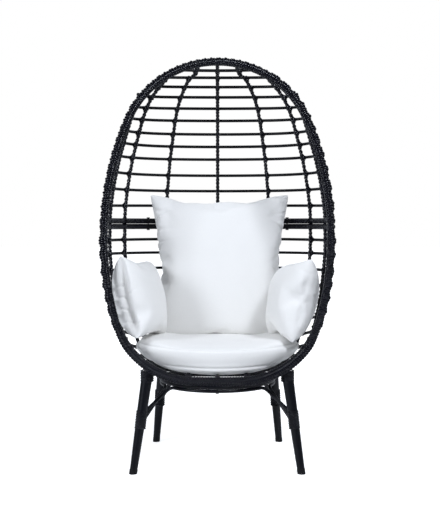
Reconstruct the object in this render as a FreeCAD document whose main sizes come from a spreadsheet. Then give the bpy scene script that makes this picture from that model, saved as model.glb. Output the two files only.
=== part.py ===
# A standing egg chair: a wicker basket in two halves, bolted together at its belt,
# on four splayed legs with arched braces, and four loose cushions.
# Millimetres, +Z up, the mouth faces -Y, and the origin is on the floor under the middle of the chair.
import FreeCAD, Part
import math
import os

import Sketcher

V = FreeCAD.Vector
X = V(1, 0, 0)
Y = V(0, 1, 0)
Z = V(0, 0, 1)

# Driving dimensions: one row each in the sheet, by name.
SIZES = {
    "beltHeight": 887.0,
    "mouthSetback": -168.67,
    "mouthLean": 11.93,
    "rimTop": 625.0,
    "rimTopRadius": 358.0,
    "rimTopTurn": 68.2,
    "rimSideRadius": 1155.0,
    "rimSideTurn": 38.15,
    "rimCornerRadius": 303.0,
    "rimCornerTurn": 71.55,
    "rimDiameter": 29.5,
    "railDiameter": 22.0,
    "ribDiameter": 14.0,
    "rodDiameter": 10.0,
    "spineTopRadius": 370.0,
    "spineLowerRadius": 1300.0,
    "spineSeatRadius": 235.0,
    "weldGap": 0.3,
    "ringRadius": 212.0,
    "ringDiameter": 14.0,
    "ringHeight": 304.1,
    "ringSetback": 80.0,
    "legTopDiameter": 42.0,
    "legFootDiameter": 27.0,
    "frontLegHeight": 354.0,
    "rearLegHeight": 366.0,
    "archDiameter": 12.0,
    "capHeight": 16.0,
    "bindingThickness": 1.4,
    "boltDiameter": 6.0,
    "boltHeadHeight": 4.0,
    "boltHeadAcross": 11.0,
    "archHeadHeight": 1.6,
}

# Steps between cross rods, along the rim and down the middle of the back, away from the belt.
UPPER_RIM_STEPS = (67, 72, 67, 62.5, 54.5, 46, 47.5, 44.5, 47, 50, 49, 63)
UPPER_SPINE_STEPS = (76, 61, 65, 68, 53.5, 53, 57.5, 53, 51.5, 50, 50, 42.5)
LOWER_RIM_STEPS = (65, 50, 65) + (48,) * 8 + (42, 48)
LOWER_SPINE_STEPS = (64, 56, 63) + (78,) * 10

# Headings of the middle of the back, in degrees below straight back, where its radius changes.
SPINE_HEADINGS = (12.0, 65.0, 90.0, 105.0, 172.0, 183.0)

# Turns of one half of a cross rod: its side, its corner and its back.
ROD_TURNS = (7.7, 67.3, 15.0)
ROD_SIDE_SHARE = 0.4

# Pairs of ribs: how far out each crosses the rods, as a share of the rod's half width, at the belt
# and at its last crossing, and where it meets the rim, as a distance from the middle of the mouth.
UPPER_RIBS = {"inner": (0.50, 0.50, 75.0), "outer": (0.88, 0.91, 182.0), "rim": (0.98, 0.997, 270.0)}
LOWER_RIBS = {"inner": (0.50, 0.62, 100.0), "outer": (0.88, 0.96, 188.0), "rim": (0.98, 0.997, 297.0)}

# The number of crossings over which a rib changes its share, and the rim left clear of its last crossing.
RIB_DRIFT = 5.0
RIB_END_MARGIN = 20.0

# Cross rods are lashed to the outside of the rim, but the last ones below butt against its back.
LASHED_LOWER_RODS = 5
BUTTED_LOWER_RODS = 11

# Feet and tops of the legs: half spacing across, and setback from the mouth at belt height.
FRONT_FOOT = (299.0, -147.0)
FRONT_TOP = (251.0, -84.0)
REAR_FOOT = (250.0, 343.0)
REAR_TOP = (217.0, 279.0)

# The stretch of seat ring that each arch follows, in degrees from the front, and the height of its feet.
FRONT_ARCH = 48.0
SIDE_ARCH = (67.0, 124.0)
REAR_ARCH = 140.0
ARCH_SHOULDER = 20.0
END_ARCH_FOOT = 203.0
SIDE_ARCH_FOOT = 167.0
ARCH_BOLT_BITE = 5.0

# Bolts of the belt: distances along a rail from its end. The holes are a touch wider than the bolts.
BELT_BOLTS = (70.0, 445.0, 640.0)
BOLT_CLEARANCE = 0.05

CAP_FLOOR = 6.0
CAP_WALL = 0.8
BINDING_AT_ARCHES = (156.0, 214.0)
TOP_BINDING = 30.0

# Seat cushion: the headings and known radii of half its outline, from the middle of its front edge to the
# middle of its back, and its sections: height, half width, and setback of the front and back edges.
SEAT_HEADINGS = (0.0, 20.0, 80.0, 104.0, 150.0, 180.0)
SEAT_RADII = (None, 130.0, None, 230.0, 380.0)
SEAT_DEPTH = 457.0
SEAT_SECTIONS = (
    (351.5, 112.0, -60.0, 120.0),
    (354.5, 146.0, -73.0, 160.0),
    (359.5, 180.0, -82.0, 208.0),
    (366.0, 214.0, -90.0, 262.0),
    (378.0, 246.0, -95.0, 300.0),
    (392.0, 270.0, -98.0, 325.0),
    (406.0, 288.0, -99.0, 345.0),
    (420.0, 301.0, -98.0, 361.0),
    (431.0, 306.0, -95.0, 369.0),
    (439.0, 299.0, -87.0, 365.0),
    (445.5, 279.0, -70.0, 352.0),
    (450.0, 243.0, -40.0, 325.0),
    (452.5, 178.0, 10.0, 275.0),
    (453.5, 84.0, 75.0, 195.0),
)

# Pillows: width, height, thickness, how far the sides draw in between the corners, and the same for the
# lower side, which rests on the seat.
BACK_PILLOW = (571.0, 556.0, 150.0, 26.0, 6.0)
BACK_PLACE = (325.0, 733.0)
BACK_LEAN = 8.0
ARM_PILLOW = (315.0, 306.0, 150.0, 16.0, 16.0)
ARM_PLACE = (284.0, 100.0, 609.0)
ARM_TURN = 12.0
ARM_LEAN = 8.0

# The crown of a pillow: share of its half thickness, then share of its outline.
PILLOW_CROWN = (
    (-1.0, 0.36),
    (-0.88, 0.60),
    (-0.62, 0.80),
    (-0.30, 0.94),
    (0.0, 1.0),
    (0.30, 0.94),
    (0.62, 0.80),
    (0.88, 0.60),
    (1.0, 0.36),
)

doc = FreeCAD.newDocument("egg_chair")
sheet = doc.addObject("Spreadsheet::Sheet", "sizes")
for row, (alias, value) in enumerate(SIZES.items(), start=1):
    sheet.set(f"A{row}", alias)
    sheet.set(f"B{row}", str(value))
    sheet.setAlias(f"B{row}", alias)
doc.recompute()


def size(alias):
    """A driving dimension, as the sheet holds it."""
    return float(getattr(sheet, alias))


def bind(thing, name, formula):
    """Ties a property to cells of the sheet. A name in the formula is a cell's alias."""
    words = sorted(SIZES, key=len, reverse=True)
    text = formula
    for position, word in enumerate(words):
        text = text.replace(word, f"@{position}@")
    for position, word in enumerate(words):
        text = text.replace(f"@{position}@", f"sizes.{word}")
    thing.setExpression(name, text)


# The mouth is a plane that leans back. Points on it are a distance across and a distance up.
lean = math.radians(size("mouthLean"))
MOUTH_UP = V(0, math.sin(lean), math.cos(lean))
MOUTH_BACK = V(0, math.cos(lean), -math.sin(lean))
MOUTH_CENTRE = V(0, size("mouthSetback"), size("beltHeight"))


class ArcChain:
    """Tangent arcs in one plane. Headings turn from forward towards side, in degrees."""

    def __init__(self, start, forward, side, heading, radii, turns):
        self.forward = forward
        self.side = side
        self.spans = []
        self.length = 0.0
        point = start
        for radius, turn in zip(radii, turns):
            centre = point + self.normal(heading) * radius
            self.spans.append((self.length, centre, radius, heading, turn))
            self.length += radius * math.radians(turn)
            heading += turn
            point = centre - self.normal(heading) * radius
        self.end = point

    def normal(self, heading):
        angle = math.radians(heading)
        return self.side * math.cos(angle) - self.forward * math.sin(angle)

    def locate(self, distance):
        for span in reversed(self.spans):
            if distance >= span[0] - 1e-9:
                return span, span[3] + math.degrees((distance - span[0]) / span[2])
        return self.spans[0], self.spans[0][3]

    def point(self, distance):
        span, heading = self.locate(distance)
        return span[1] - self.normal(heading) * span[2]

    def direction(self, distance):
        heading = math.radians(self.locate(distance)[1])
        return self.forward * math.cos(heading) + self.side * math.sin(heading)

    def edges(self):
        made = []
        for first, centre, radius, heading, turn in self.spans:
            stops = [centre - self.normal(heading + turn * share) * radius for share in (0.0, 0.5, 1.0)]
            made.append(Part.Arc(*stops).toShape())
        return made

    def distance_where(self, measure, low, high):
        """The distance between low and high at which a measure of the point changes sign."""
        sign = measure(self.point(low)) > 0
        for _ in range(60):
            middle = (low + high) / 2
            if (measure(self.point(middle)) > 0) == sign:
                low = middle
            else:
                high = middle
        return (low + high) / 2


def closing_radii(headings, radii, reach_forward, reach_side):
    """Fills the two radii given as None, so that the chain ends where it has to."""
    shares = []
    forward = reach_forward
    side = reach_side
    for start, end, radius in zip(headings, headings[1:], radii):
        along = math.sin(math.radians(end)) - math.sin(math.radians(start))
        across = math.cos(math.radians(start)) - math.cos(math.radians(end))
        if radius is None:
            shares.append((along, across))
        else:
            forward -= along * radius
            side -= across * radius
    (a, c), (b, d) = shares
    scale = a * d - b * c
    found = [(forward * d - b * side) / scale, (a * side - forward * c) / scale]
    return [found.pop(0) if radius is None else radius for radius in radii]


def tube(edges, diameter):
    """A round bar along a smooth line of edges."""
    wire = Part.Wire(edges)
    first = wire.OrderedEdges[0]
    start = first.firstVertex(True).Point
    tangent = first.tangentAt(first.FirstParameter)
    if first.Orientation == "Reversed":
        tangent = first.tangentAt(first.LastParameter) * -1
    section = Part.Wire([Part.makeCircle(diameter / 2, start, tangent)])
    return wire.makePipeShell([section], True, False)


def biarc(start, start_way, end, end_way):
    """Two arcs that join two points with the given directions."""
    chord = end - start
    ways = start_way + end_way
    spread = 2 * (1 - start_way.dot(end_way))
    lean_in = chord.dot(ways)
    if spread < 1e-9:
        reach = chord.dot(chord) / (2 * lean_in)
    else:
        reach = (-lean_in + math.sqrt(lean_in ** 2 + spread * chord.dot(chord))) / spread
    joint = (start + start_way * reach + end - end_way * reach) * 0.5
    return [arc_from(start, start_way, joint), arc_to(joint, end, end_way)]


def arc_from(start, way, end):
    """The arc between two points that leaves the first one in the given direction."""
    chord = end - start
    across = chord - way * chord.dot(way)
    if across.Length < 1e-6:
        return Part.makeLine(start, end)
    across.normalize()
    radius = chord.dot(chord) / (2 * chord.dot(across))
    centre = start + across * radius
    outward = (start - centre) + (end - centre)
    outward.normalize()
    return Part.Arc(start, centre + outward * radius, end).toShape()


def arc_to(start, end, way):
    """The arc between two points that reaches the second one in the given direction."""
    back = arc_from(end, way * -1, start)
    if back.Curve.TypeId == "Part::GeomLine":
        return Part.makeLine(start, end)
    middle = back.valueAt((back.FirstParameter + back.LastParameter) / 2)
    return Part.Arc(start, middle, end).toShape()


def unit(vector):
    copy = V(vector)
    copy.normalize()
    return copy


def mirrored(point):
    return V(-point.x, point.y, point.z)


# The rim: an egg-shaped outline on the mouth plane, from the top of the mouth down one side.
rim_turns = [size("rimTopTurn"), size("rimSideTurn"), size("rimCornerTurn")]
rim_turns.append(180.0 - sum(rim_turns))
rim_radii = [size("rimTopRadius"), size("rimSideRadius"), size("rimCornerRadius")]
open_rim = ArcChain(V(0, 0, 0), X, Y, 0.0, rim_radii, rim_turns)
rim_radii.append(open_rim.end.x / math.sin(math.radians(rim_turns[3])))
rim_line = ArcChain(
    MOUTH_CENTRE + MOUTH_UP * size("rimTop"), X, MOUTH_UP * -1, 0.0, rim_radii, rim_turns
)
rim_belt = rim_line.distance_where(lambda p: p.z - size("beltHeight"), 0, rim_line.length)
rim_bottom = rim_line.end

# A cross rod lies outside the ribs, and where it is lashed to the rim it lies outside that too.
rod_outset = (size("rimDiameter") + size("rodDiameter")) / 2 + size("weldGap")
rib_inset = (size("ribDiameter") + size("rodDiameter")) / 2 + size("weldGap")

# The middle of the back, as the cross rods follow it: from the top of the mouth round to its bottom.
spine_start = rim_line.point(0) + MOUTH_UP * rod_outset
spine_reach = rim_bottom - spine_start
spine_radii = closing_radii(
    SPINE_HEADINGS,
    [size("spineTopRadius"), None, size("spineLowerRadius"), size("spineSeatRadius"), None],
    spine_reach.y,
    -spine_reach.z,
)
spine_turns = [end - start for start, end in zip(SPINE_HEADINGS, SPINE_HEADINGS[1:])]
spine_line = ArcChain(spine_start, Y, Z * -1, SPINE_HEADINGS[0], spine_radii, spine_turns)
spine_belt = spine_line.distance_where(lambda p: p.z - size("beltHeight"), 0, spine_line.length * 0.6)


BASKET_MIDDLE = V(0, MOUTH_CENTRE.y, size("beltHeight") - 200)


def cross_line(end, middle):
    """A U round the basket through its right end and its middle, mirrored to the left."""
    centre = V(0, end.y, end.z)
    depth = (middle - centre).Length
    back = unit(middle - centre)
    headings = [0.0, ROD_TURNS[0], ROD_TURNS[0] + ROD_TURNS[1], 90.0]
    side_radius = ROD_SIDE_SHARE * depth / math.sin(math.radians(ROD_TURNS[0]))
    radii = closing_radii(headings, [side_radius, None, None], depth, end.x)
    radii = radii + radii[1::-1]
    turns = [ROD_TURNS[0], ROD_TURNS[1], 2 * ROD_TURNS[2], ROD_TURNS[1], ROD_TURNS[0]]
    return ArcChain(end, back, X * -1, 0.0, radii, turns)


def rim_outward(distance):
    """The direction out of the mouth, in its plane, square to the rim."""
    return rim_line.direction(distance).cross(MOUTH_BACK)


def rod_line(rim_distance, spine_distance, outset):
    """The line of one cross rod, from its place on the rim to its place on the back."""
    end = rim_line.point(rim_distance) + rim_outward(rim_distance) * outset
    return cross_line(end, spine_line.point(spine_distance))


def lower_outset(number):
    """Full outset where a lower rod is lashed outside the rim, none where it butts against it."""
    share = (BUTTED_LOWER_RODS - number) / (BUTTED_LOWER_RODS - LASHED_LOWER_RODS)
    return rod_outset * min(1.0, max(0.0, share))


upper_rods = []
rim_at = rim_belt
spine_at = spine_belt
for rim_step, spine_step in zip(UPPER_RIM_STEPS, UPPER_SPINE_STEPS):
    rim_at -= rim_step
    spine_at -= spine_step
    upper_rods.append(rod_line(rim_at, spine_at, rod_outset))

lower_rods = []
lower_outsets = []
rim_at = rim_belt
spine_at = spine_belt
for number, (rim_step, spine_step) in enumerate(zip(LOWER_RIM_STEPS, LOWER_SPINE_STEPS), start=1):
    rim_at += rim_step
    spine_at += spine_step
    lower_outsets.append(lower_outset(number))
    lower_rods.append(rod_line(rim_at, spine_at, lower_outsets[-1]))

belt_line = rod_line(rim_belt, spine_belt, rod_outset)


def rod_point(line, share):
    """The point of a rod at a share of its half width, on the right."""
    half = line.length / 2
    width = line.point(0).x
    return line.distance_where(lambda p: p.x - share * width, 0, half)


def rib_crossings(rods, rim_places, shares, end_distance):
    """The belt and the rods that a rib crosses, each with the distance along it."""
    lines = [belt_line]
    for line, place in zip(rods, rim_places):
        if abs(place - rim_belt) < abs(end_distance - rim_belt) - RIB_END_MARGIN:
            lines.append(line)
    crossings = []
    for number, line in enumerate(lines):
        before_end = len(lines) - 1 - number
        drift = max(0.0, 1.0 - before_end / RIB_DRIFT) ** 2
        share = shares[0] + (shares[1] - shares[0]) * drift
        crossings.append((line, rod_point(line, share)))
    return crossings


def rib_points(crossings, rim_end):
    """The rib's own line at each crossing: inside the rod by the two half thicknesses, square to both."""
    on_rods = [line.point(distance) for line, distance in crossings]
    path = on_rods + [rim_end]
    points = []
    for number, (line, distance) in enumerate(crossings):
        along = unit(path[number + 1] - path[max(number - 1, 0)])
        inward = unit(line.direction(distance).cross(along))
        if inward.dot(BASKET_MIDDLE - on_rods[number]) < 0:
            inward = inward * -1
        points.append(on_rods[number] + inward * rib_inset)
    return points


def rib_edges(points, rim_end, first_way):
    """Arcs through a rib's crossings, from the belt to the back of the rim."""
    path = points + [rim_end]
    ways = [first_way]
    for before, after in zip(path, path[2:]):
        ways.append(unit(after - before))
    last_chord = unit(path[-1] - path[-2])
    ways.append(unit(last_chord * (2 * last_chord.dot(ways[-1])) - ways[-1]))
    edges = []
    for number in range(len(path) - 1):
        edges += biarc(path[number], ways[number], path[number + 1], ways[number + 1])
    return edges


made = {}


def keep(name, thing):
    """Names a sub-part and remembers it for the files."""
    thing.Label = name
    made[name] = thing
    return thing


def shaped(name, shape):
    """A sub-part whose shape is set here."""
    thing = doc.addObject("Part::Feature", name)
    thing.Shape = shape
    return keep(name, thing)


def origin_plane(body, role):
    return next(item for item in body.Origin.OriginFeatures if item.Role == role)


def new_sketch(body, name, role):
    sketch = body.newObject("Sketcher::SketchObject", name)
    sketch.AttachmentSupport = [(origin_plane(body, role), "")]
    sketch.MapMode = "FlatFace"
    return sketch


def draw_arcs(sketch, chain, flatten, radius_names):
    """Draws a chain of tangent arcs in a sketch, each radius tied to its cell."""
    for span, edge in zip(chain.spans, chain.edges()):
        first, last = edge.FirstParameter, edge.LastParameter
        stops = [flatten(edge.valueAt(first + (last - first) * share)) for share in (0.0, 0.5, 1.0)]
        sketch.addGeometry(Part.Arc(*stops), False)
    for number, name in enumerate(radius_names):
        if name:
            place = sketch.addConstraint(
                Sketcher.Constraint("Radius", number, chain.spans[number][2])
            )
            sketch.renameConstraint(place, f"{name}Held")
            bind(sketch, f"Constraints.{name}Held", name)


def sub_chain(chain, start, end):
    """The part of a chain between two distances, forwards or backwards."""
    low, high = min(start, end), max(start, end)
    radii, turns = [], []
    for first, centre, radius, heading, turn in chain.spans:
        last = first + radius * math.radians(turn)
        used = min(last, high) - max(first, low)
        if used > 1e-6:
            radii.append(radius)
            turns.append(math.degrees(used / radius))
    heading = chain.locate(low)[1]
    if start < end:
        return ArcChain(chain.point(low), chain.forward, chain.side, heading, radii, turns)
    far = chain.locate(high)[1]
    back = ArcChain(
        chain.point(high), chain.forward * -1, chain.side, -far, radii[::-1], turns[::-1]
    )
    return back


def pipe_body(
    name, path_role, circle_role, chain, flatten, circle_at, diameter_alias, radius_names, mirror
):
    """A bar bent in one plane: a path sketch, a round section and, for a pair of halves, a mirror."""
    body = doc.addObject("PartDesign::Body", name)
    path = new_sketch(body, f"{name}_path", path_role)
    draw_arcs(path, chain, flatten, radius_names)
    section = new_sketch(body, f"{name}_section", circle_role)
    section.addGeometry(
        Part.Circle(V(circle_at[0], circle_at[1], 0), Z, size(diameter_alias) / 2), False
    )
    place = section.addConstraint(Sketcher.Constraint("Diameter", 0, size(diameter_alias)))
    section.renameConstraint(place, "barDiameter")
    bind(section, "Constraints.barDiameter", diameter_alias)
    doc.recompute()
    pipe = body.newObject("PartDesign::AdditivePipe", f"{name}_bar")
    pipe.Profile = section
    pipe.Spine = (path, [f"Edge{number + 1}" for number in range(len(chain.spans))])
    body.Tip = pipe
    if mirror:
        doc.recompute()
        other = body.newObject("PartDesign::Mirrored", f"{name}_mirrored")
        other.Originals = [pipe]
        other.MirrorPlane = (origin_plane(body, "YZ_Plane"), [""])
        body.Tip = other
    return keep(name, body)


# The two halves of the rim, each drawn flat in its own plane and then leaned back.
LEAN_BACK = FreeCAD.Placement(MOUTH_CENTRE, FreeCAD.Rotation(X, -size("mouthLean")))
flat_rim = ArcChain(V(0, size("rimTop"), 0), X, Y * -1, 0.0, rim_radii, rim_turns)
upper_rim = pipe_body(
    "upper_rim", "XZ_Plane", "YZ_Plane", sub_chain(flat_rim, 0, rim_belt), lambda p: p,
    (0, size("rimTop")), "rimDiameter", ("rimTopRadius", "rimSideRadius"), True,
)
lower_rim = pipe_body(
    "lower_rim", "XZ_Plane", "YZ_Plane", sub_chain(flat_rim, rim_line.length, rim_belt), lambda p: p,
    (0, flat_rim.end.y), "rimDiameter", (None, "rimCornerRadius", "rimSideRadius"), True,
)
for rim in (upper_rim, lower_rim):
    rim.Placement = LEAN_BACK


def tool_group(name, tools):
    """Several sub-parts as one tool, for coping what butts against them."""
    group = doc.addObject("Part::Compound", name)
    group.Links = tools
    return group


def coped(name, bar, tool):
    """A bar whose ends are cut to fit the round bars that they are welded to."""
    fit = doc.addObject("Part::Cut", name)
    fit.Base = bar
    fit.Tool = tool
    return keep(name, fit)


def bar_of(name, edges, diameter_alias):
    """A bent bar that isn't in one plane."""
    bar = doc.addObject("Part::Feature", f"{name}_bar")
    bar.Shape = tube(edges, size(diameter_alias))
    return bar


rims = tool_group("both_rims", [upper_rim, lower_rim])

# The two rails of the belt, one on the other, in the line of the ribs, with the holes of their bolts.
rail_rise = (size("railDiameter") + size("weldGap")) / 2
rail_line = cross_line(
    V(belt_line.point(0).x - rib_inset, MOUTH_CENTRE.y, size("beltHeight")),
    V(0, spine_line.point(spine_belt).y - rib_inset, size("beltHeight")),
)
flat_rail = sub_chain(rail_line, rail_line.length / 2, 0)
rail_middle = rail_line.point(rail_line.length / 2)
bolt_radius = size("boltDiameter") / 2


def upright(centre, radius, low, high):
    return Part.makeCylinder(radius, high - low, V(centre.x, centre.y, low))


def hexagon(centre, low, high):
    """A bolt head or a nut, upright."""
    corner = size("boltHeadAcross") / math.sqrt(3)
    points = []
    for number in range(7):
        angle = math.radians(60 * number)
        points.append(V(centre.x + corner * math.cos(angle), centre.y + corner * math.sin(angle), low))
    return Part.Face(Part.makePolygon(points)).extrude(Z * (high - low))


belt_bolt_places = []
for distance in BELT_BOLTS:
    place = rail_line.point(distance)
    belt_bolt_places += [place, mirrored(place)]
belt_low = size("beltHeight") - rail_rise - size("railDiameter") / 2
belt_high = size("beltHeight") + rail_rise + size("railDiameter") / 2
hole_radius = bolt_radius + BOLT_CLEARANCE
belt_holes = doc.addObject("Part::Feature", "belt_holes")
belt_holes.Shape = Part.makeCompound(
    [upright(place, hole_radius, belt_low - 9, belt_high + 9) for place in belt_bolt_places]
)
rim_and_holes = tool_group("rims_and_belt_holes", [upper_rim, lower_rim, belt_holes])

rail_bars = []
for name, side in (("upper_belt_rail", 1), ("lower_belt_rail", -1)):
    body = pipe_body(
        f"{name}_bent", "XY_Plane", "YZ_Plane", flat_rail, lambda p: V(p.x, p.y, 0),
        (rail_middle.y, 0), "railDiameter", (), True,
    )
    del made[body.Label]
    body.Placement.Base = V(0, 0, size("beltHeight") + side * rail_rise)
    rail_bars.append(body)
    coped(name, body, rim_and_holes)

belt_bolts = []
for place in belt_bolt_places:
    shank = upright(place, bolt_radius, belt_low, belt_high)
    for low in (belt_low - size("boltHeadHeight"), belt_high):
        shank = shank.fuse(hexagon(place, low, low + size("boltHeadHeight")))
    belt_bolts.append(shank.removeSplitter())
shaped("belt_bolts", Part.makeCompound(belt_bolts))

rims_and_rails = tool_group("rims_and_rails", [upper_rim, lower_rim] + rail_bars)

# The middle ribs are bent in one plane, an even distance inside the line of the cross rods.
rib_spine = ArcChain(
    spine_start + spine_line.normal(SPINE_HEADINGS[0]) * rib_inset, Y, Z * -1, SPINE_HEADINGS[0],
    [radius - rib_inset for radius in spine_radii], spine_turns,
)
rib_belt = rib_spine.distance_where(lambda p: p.z - size("beltHeight"), 0, rib_spine.length * 0.6)
for name, start, end in (
    ("upper_middle_rib", rib_belt - rail_rise, 0),
    ("lower_middle_rib", rib_belt + rail_rise, rib_spine.length),
):
    foot = rib_spine.point(start)
    body = pipe_body(
        f"{name}_bent", "YZ_Plane", "XY_Plane", sub_chain(rib_spine, start, end),
        lambda p: V(p.y, p.z - foot.z, 0), (0, foot.y), "ribDiameter", (), False,
    )
    del made[body.Label]
    body.Placement.Base = V(0, 0, foot.z)
    coped(name, body, rims_and_rails)

# The other ribs, in pairs, from the middle of the back outwards.
upper_places = [rim_belt - sum(UPPER_RIM_STEPS[:n + 1]) for n in range(len(UPPER_RIM_STEPS))]
lower_places = [rim_belt + sum(LOWER_RIM_STEPS[:n + 1]) for n in range(len(LOWER_RIM_STEPS))]
for half, ribs, rods, places, low, high, rising in (
    ("upper", UPPER_RIBS, upper_rods, upper_places, 0.0, rim_belt, Z),
    ("lower", LOWER_RIBS, lower_rods, lower_places, rim_line.length, rim_belt, Z * -1),
):
    for rib_name, (belt_share, end_share, end_across) in ribs.items():
        end_distance = rim_line.distance_where(lambda p: p.x - end_across, low, high)
        rim_end = rim_line.point(end_distance)
        crossings = rib_crossings(rods, places, (belt_share, end_share), end_distance)
        points = rib_points(crossings, rim_end)
        points[0] = points[0] + rising * rail_rise
        for side, place_of in (("right", lambda p: p), ("left", mirrored)):
            name = f"{half}_{side}_{rib_name}_rib"
            edges = rib_edges([place_of(p) for p in points], place_of(rim_end), rising)
            coped(name, bar_of(name, edges, "ribDiameter"), rims_and_rails)

# The cross rods, numbered away from the belt.
for half, rods, outsets in (
    ("upper", upper_rods, [rod_outset] * len(upper_rods)),
    ("lower", lower_rods, lower_outsets),
):
    for number, (line, outset) in enumerate(zip(rods, outsets), start=1):
        name = f"{half}_rod_{number:02d}"
        bar = bar_of(name, line.edges(), "rodDiameter")
        if outset < rod_outset:
            coped(name, bar, rims)
        else:
            keep(name, bar)

# The seat ring lies under the basket, and the four arches hug it from below.
ring_centre = V(0, size("mouthSetback") + size("ringSetback"), size("ringHeight"))
ring = doc.addObject("Part::Torus", "seat_ring_bent")
bind(ring, "Radius1", "ringRadius")
bind(ring, "Radius2", "ringDiameter / 2")
ring.Placement.Base = ring_centre
arch_level = size("ringHeight") - (size("ringDiameter") + size("archDiameter")) / 2 - size("weldGap")


def round_ring(azimuth):
    """A unit vector from the middle of the ring. The azimuth counts from the front, to the right."""
    angle = math.radians(azimuth)
    return V(math.sin(angle), -math.cos(angle), 0)


def under_ring(azimuth):
    return V(ring_centre.x, ring_centre.y, arch_level) + round_ring(azimuth) * size("ringRadius")


# Bolts under the middle of each arch hold it to the ring.
arch_bolt_places = [under_ring(azimuth) for azimuth in (0, 90, 180, 270)]
bolt_low = arch_level - size("archDiameter") / 2
bolt_high = size("ringHeight") + ARCH_BOLT_BITE
arch_holes = doc.addObject("Part::Feature", "arch_holes")
arch_holes.Shape = Part.makeCompound(
    [upright(place, hole_radius, bolt_low - 9, bolt_high) for place in arch_bolt_places]
)
coped("seat_ring", ring, arch_holes)
arch_bolts = [
    upright(place, bolt_radius, bolt_low, bolt_high).fuse(
        hexagon(place, bolt_low - size("archHeadHeight"), bolt_low)
    ).removeSplitter()
    for place in arch_bolt_places
]
shaped("arch_bolts", Part.makeCompound(arch_bolts))


def leg_axis(foot, top, top_height, side):
    """Foot and top of a leg's axis, on the right for side 1 and on the left for side -1."""
    setback = size("mouthSetback")
    low = V(side * foot[0], setback + foot[1], 0)
    high = V(side * top[0], setback + top[1], size(top_height))
    return low, high


LEGS = {
    "front_left_leg": leg_axis(FRONT_FOOT, FRONT_TOP, "frontLegHeight", -1),
    "front_right_leg": leg_axis(FRONT_FOOT, FRONT_TOP, "frontLegHeight", 1),
    "rear_left_leg": leg_axis(REAR_FOOT, REAR_TOP, "rearLegHeight", -1),
    "rear_right_leg": leg_axis(REAR_FOOT, REAR_TOP, "rearLegHeight", 1),
}


def on_leg(name, height):
    """The point of a leg's axis at a height, and the leg's radius there."""
    low, high = LEGS[name]
    share = height / high.z
    slim, wide = size("legFootDiameter") / 2, size("legTopDiameter") / 2
    return low + (high - low) * share, slim + (wide - slim) * share


def cone_along(name, low_height, high_height, extra):
    """A piece of a leg's cone, thicker than the leg by extra."""
    low, low_radius = on_leg(name, low_height)
    high, high_radius = on_leg(name, high_height)
    axis = high - low
    return Part.makeCone(low_radius + extra, high_radius + extra, axis.Length, low, axis)


for name, (low, high) in LEGS.items():
    start, radius = on_leg(name, CAP_FLOOR)
    axis = high - start
    leg = doc.addObject("Part::Cone", name)
    leg.Radius1 = radius
    bind(leg, "Radius2", "legTopDiameter / 2")
    leg.Height = axis.Length
    leg.Placement = FreeCAD.Placement(start, FreeCAD.Rotation(Z, axis))
    keep(name, leg)
doc.recompute()
legs_and_holes = tool_group("legs_and_arch_holes", [made[name] for name in LEGS] + [arch_holes])


def arch_edges(first_leg, first_azimuth, last_azimuth, last_leg, foot_height):
    """From one leg up to the ring, along its underside, and down to the next leg."""
    turn = 1 if last_azimuth > first_azimuth else -1
    edges = []
    ends = []
    for leg, azimuth, outward in ((first_leg, first_azimuth, -turn), (last_leg, last_azimuth, turn)):
        foot = on_leg(leg, foot_height)[0]
        touch = under_ring(azimuth)
        way = round_ring(azimuth + 90) * outward
        corner = touch + way * ARCH_SHOULDER
        bend = corner + unit(foot - corner) * ARCH_SHOULDER
        ends.append((foot, bend, touch, way))
    foot, bend, touch, way = ends[0]
    edges.append(Part.makeLine(foot, bend))
    edges.append(arc_to(bend, touch, way * -1))
    middle = under_ring((first_azimuth + last_azimuth) / 2)
    edges.append(Part.Arc(touch, middle, ends[1][2]).toShape())
    foot, bend, touch, way = ends[1]
    edges.append(arc_from(touch, way, bend))
    edges.append(Part.makeLine(bend, foot))
    return edges


ARCHES = (
    ("front_arch", "front_right_leg", FRONT_ARCH, -FRONT_ARCH, "front_left_leg", END_ARCH_FOOT),
    ("left_arch", "front_left_leg", -SIDE_ARCH[0], -SIDE_ARCH[1], "rear_left_leg", SIDE_ARCH_FOOT),
    ("right_arch", "front_right_leg", SIDE_ARCH[0], SIDE_ARCH[1], "rear_right_leg", SIDE_ARCH_FOOT),
    ("rear_arch", "rear_right_leg", REAR_ARCH, 360 - REAR_ARCH, "rear_left_leg", END_ARCH_FOOT),
)
for name, first_leg, first_azimuth, last_azimuth, last_leg, foot_height in ARCHES:
    edges = arch_edges(first_leg, first_azimuth, last_azimuth, last_leg, foot_height)
    coped(name, bar_of(name, edges, "archDiameter"), legs_and_holes)
doc.recompute()

# Foot caps: a plug of the leg's slope with a flat sole on the floor.
floor_block = Part.makeBox(2000, 2000, 200, V(-1000, -1000, -200))
caps = []
for name in LEGS:
    cap = cone_along(name, -20, size("capHeight"), CAP_WALL)
    caps.append(cap.cut(floor_block).cut(made[name].Shape))
shaped("foot_caps", Part.makeCompound(caps))

# Woven bindings: sleeves at the top of each leg and where the arches join it.
arch_shapes = [made[arch[0]].Shape for arch in ARCHES]
bindings = []
for name, (low, high) in LEGS.items():
    for start, end in (BINDING_AT_ARCHES, (high.z - TOP_BINDING, high.z - 1)):
        sleeve = cone_along(name, start, end, size("bindingThickness")).cut(made[name].Shape)
        for arch in arch_shapes:
            sleeve = sleeve.cut(arch)
        bindings.append(max(sleeve.Solids, key=lambda solid: solid.Volume))
shaped("leg_bindings", Part.makeCompound(bindings))

# The seat cushion: a boxed oval that draws in towards its underside and has a low crown.
seat_radii = closing_radii(SEAT_HEADINGS, SEAT_RADII, 0, SEAT_DEPTH)
seat_turns = [end - start for start, end in zip(SEAT_HEADINGS, SEAT_HEADINGS[1:])]
seat_line = ArcChain(V(0, 0, 0), X, Y, 0.0, seat_radii, seat_turns)
seat_half_width = max(edge.BoundBox.XMax for edge in seat_line.edges())


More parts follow.
